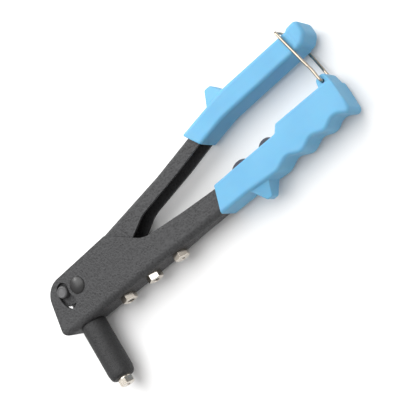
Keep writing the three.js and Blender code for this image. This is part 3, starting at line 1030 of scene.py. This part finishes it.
def jaws():
    """Three jaws, each a third of a cone with tooth rings round its groove."""
    low_y, high_y = -54, -47.4
    outer_low, outer_high = 3.9 + 1.3 / 8 - GAP, 5.2 - 0.4 / 8 * 1.3 - GAP
    teeth = 7
    pitch = (high_y - low_y) / teeth
    bite = [(1.3 if i % 2 else 1.6, high_y - pitch * i / 2) for i in range(2 * teeth + 1)]
    for index in range(3):
        name = f"jaw_{index + 1}"
        profile = [(outer_low, low_y), (outer_high, high_y), *bite]
        piece = turned(name + "_toothed", profile, (AXIS, 0), steps=48)
        facing = math.radians(-120 * index)
        reach, cut_back, spread = 14, 0.35, math.radians(60)
        wedge = []
        for r, a in ((0, 0), (reach, -spread), (reach, spread)):
            x, z = cut_back + r * math.cos(a), r * math.sin(a)
            turned_x = x * math.cos(facing) - z * math.sin(facing)
            turned_z = x * math.sin(facing) + z * math.cos(facing)
            wedge.append((AXIS + turned_x, low_y - 2, turned_z))
        sector = ring_of("sector", wedge)
        pick(sector)
        bpy.ops.object.mode_set(mode="EDIT")
        bpy.ops.mesh.select_all(action="SELECT")
        bpy.ops.mesh.edge_face_add()
        bpy.ops.mesh.extrude_region_move(TRANSFORM_OT_translate={"value": (0, 12 * MM, 0)})
        bpy.ops.mesh.select_all(action="SELECT")
        bpy.ops.mesh.normals_make_consistent(inside=False)
        done()
        combine(piece, sector, "INTERSECT")
        soften(piece, 0.06, 2)
        fit(piece, name, "jaws", "tool_steel")


def jaw_pusher():
    profile = [
        (1.5, -47.1),
        (2.4, -47.1),
        (4.6, -45.5),
        (4.6, -43.4),
        (2.2, -43.4),
        (2.2, -36),
        (1.5, -36),
    ]
    pusher = turned("jaw_pusher_turned", profile, (AXIS, 0), steps=48)
    soften(pusher, 0.15, 2)
    fit(pusher, "jaw_pusher", "jaws", "tool_steel")


def pusher_spring():
    start, end, turns, radius = -42.6, -20.8, 6, 3.7
    steps = turns * 10
    points = []
    for i in range(steps + 1):
        angle = 2 * math.pi * turns * i / steps
        height = start + (end - start) * i / steps
        points.append((AXIS + radius * math.cos(angle), height, radius * math.sin(angle)))
    spring = wire("pusher_spring_coil", points, 0.6, 3, 4)
    fit(spring, "pusher_spring", "carriage", "plated_steel")
    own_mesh(spring)


# ---------------------------------------------------------------- bail and spanner


def wire_bail():
    """The latch: its bar lies over the upper grip's back, and its feet turn in to the lower grip's tab."""
    foot_x, foot_y, leg, ankle = 229.4, 0.1, 12.6, 10.6
    half = [
        (foot_x, foot_y, 8.75),
        (foot_x, foot_y, 9.3),
        (foot_x - 0.1, foot_y + 0.7, ankle - 0.3),
        (foot_x - 0.3, foot_y + 2.2, ankle + 0.1),
        (228.4, 9.6, ankle),
        (227.8, 13.6, leg - 1.2),
        (227.1, 18, leg - 0.4),
        (226.2, 24, leg),
        (223.2, 41.5, leg),
        (222.5, 44.3, leg - 1.3),
        (222.4, 44.7, leg - 3.2),
    ]
    points = half + [(x, y, -z) for x, y, z in reversed(half)]
    bail = wire("wire_bail_bent", points, 1, 12, 5)
    fit(bail, "wire_bail", "bail", "plated_steel", WIRE_PLATE)


def spanner():
    big, small, half = (148, -12.1, 9.9), (171.6, -9.3, 7.4), 1.5
    piece = plate("spanner_pressed", round_hole(*big, 64), -half, half)
    combine(piece, plate("small_end", round_hole(*small, 56), -half, half), "UNION")
    combine(piece, block("neck", big[0], small[0], big[1] - 4, small[1], -half, half), "UNION")
    reach = 10.7 / 2 / math.cos(math.pi / 6)
    hexagon = round_hole(big[0], big[1], reach, 6)
    cut(piece, plate("hexagon", hexagon, -5, 5), plate("eye", round_hole(small[0], small[1], 2.5, 32), -5, 5))
    soften(piece, 0.9, 4)
    fit(piece, "spanner", "spanner", "plated_steel", SPANNER_STEEL)


def spanner_holder():
    floor_y = WEB + SHEET + 0.2
    outline = [(133.5, floor_y), (150, floor_y), (175, -19.1), (183.5, -19.1), (183.5, -14), (133.5, -14)]
    holder = plate("spanner_holder_insert", outline, -6.1, 6.1)
    cut(holder, block("slot", 137.4, 180.4, -30, 0, -1.75, 1.75))
    soften(holder, 0.4)
    fit(holder, "spanner_holder", "body", "dark_plastic")


# ---------------------------------------------------------------- table, lights and camera


def table():
    deselect()
    bpy.ops.mesh.primitive_plane_add(size=6, location=(0, 0, -0.0004))
    floor = bpy.context.object
    floor.name = "table_top"
    pale = Finish("pale_table", roughness=0.7)
    haze = pale.noise(6, 2)
    pale.drive("Base Color", pale.blend(haze, (0.8, 0.8, 0.8, 1), (0.82, 0.82, 0.82, 1)))
    floor.data.materials.append(pale.material)


CAMERA = {
    "place": (455.62, -245.98, 729.57),
    "right": (0.70035, -0.50944, -0.49998),
    "up": (0.5837, 0.81191, -0.00965),
    "back": (0.41086, -0.28507, 0.86599),
    "lens": 113.04,
}


def camera():
    data = bpy.data.cameras.new("camera")
    data.lens = CAMERA["lens"]
    data.sensor_width = 36
    data.clip_end = 20
    eye = bpy.data.objects.new("camera", data)
    bpy.context.scene.collection.objects.link(eye)
    turn = Matrix((CAMERA["right"], CAMERA["up"], CAMERA["back"])).transposed()
    eye.matrix_world = Matrix.Translation(PIVOT + Vector(CAMERA["place"]) * MM) @ turn.to_4x4()
    bpy.context.scene.camera = eye


def lamp(name, direction, distance, size, power):
    """A square soft light that looks at the middle of the tool."""
    data = bpy.data.lights.new(name, "AREA")
    data.size = size
    data.energy = power
    light = bpy.data.objects.new(name, data)
    bpy.context.scene.collection.objects.link(light)
    away = Vector(direction).normalized()
    light.location = away * distance
    light.rotation_mode = "QUATERNION"
    light.rotation_quaternion = away.to_track_quat("Z", "Y")


def sky():
    """A white room whose walls turn dark and warm towards the floor."""
    world = bpy.data.worlds.new("studio")
    bpy.context.scene.world = world
    world.use_nodes = True
    room = Nodes(world.node_tree, "Generated")
    height = room.node("ShaderNodeSeparateXYZ", {}, {0: room.place}, "Z")
    shade = room.blend(room.ramp(height, 0.1, 0.75), (0.3, 0.275, 0.26, 1), (1, 1, 1, 1))
    backdrop = world.node_tree.nodes["Background"]
    world.node_tree.links.new(shade.socket, backdrop.inputs["Color"])
    backdrop.inputs["Strength"].default_value = 0.85


def lights():
    lamp("key", (0, 0.6, 1.2), 1.6, 2, 36)
    lamp("side", (-0.45, 1, 0.6), 1.2, 0.25, 5)
    bpy.context.scene.view_settings.view_transform = "Standard"


# ---------------------------------------------------------------- everything

camera()
table()
sky()
lights()

body_frame()
lever_arm()
lower_grip()
upper_grip()
pivot_rivet()
drive_pin()
drive_pin_clips()
lever_bushes()
nose_barrel()
barrel_lock_nut()
nosepiece("fitted_nosepiece_hexagon", "fitted_nosepiece", 1.7, 30)
for node, bore, turn in zip(SPARE_NODES, (2.55, 2.15, 1.3), (8, -6, 14)):
    nosepiece(node + "_hexagon", node, bore, turn)
carrier_rod()
jaw_case()
jaws()
jaw_pusher()
pusher_spring()
wire_bail()
spanner()
spanner_holder()
deselect()
